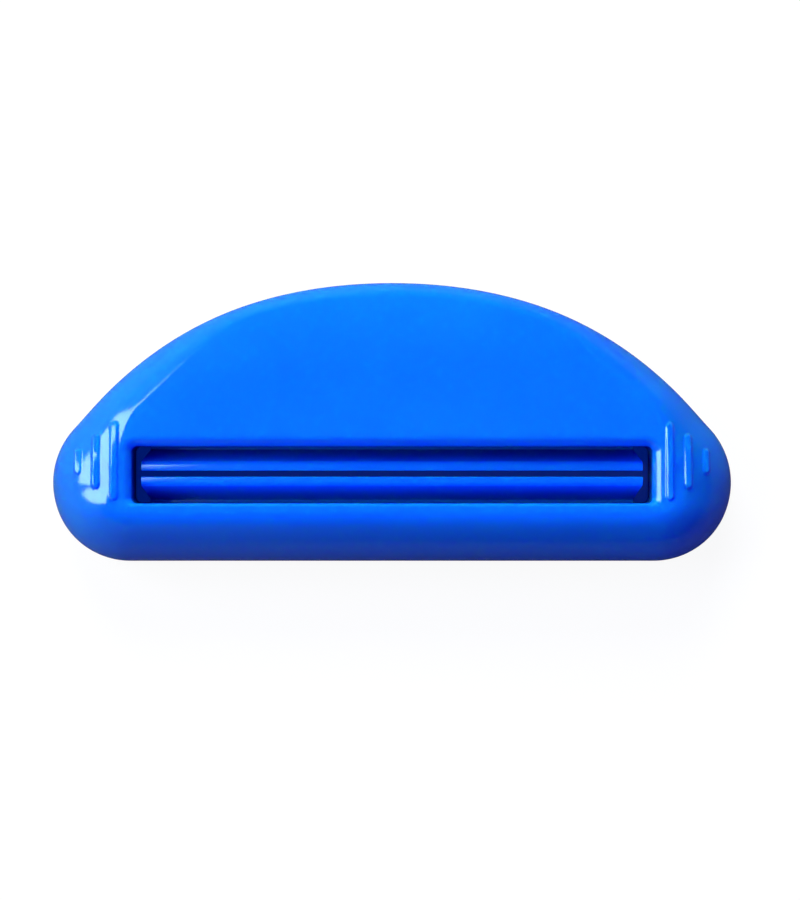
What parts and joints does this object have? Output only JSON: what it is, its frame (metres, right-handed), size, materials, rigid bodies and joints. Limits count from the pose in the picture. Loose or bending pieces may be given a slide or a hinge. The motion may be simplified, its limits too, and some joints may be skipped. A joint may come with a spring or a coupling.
{
  "type": "toothpaste squeezer",
  "caption": "Domed one-piece plastic squeezer with a long slot between two lips in a recessed window, which slides along a flat tube to push its contents forward.",
  "frame": {"origin": "centre of the back rim's box, on the surface that the part lies on", "axes": "+X along the slot, +Y towards the domed edge, +Z out of the front face"},
  "size_m": [0.092, 0.0376, 0.0153],
  "materials": {
    "blue_plastic": "glossy, slightly translucent bright blue moulded plastic"
  },
  "bodies": {
    "root": {"squeezer_body": "blue_plastic"}
  },
  "joints": []
}
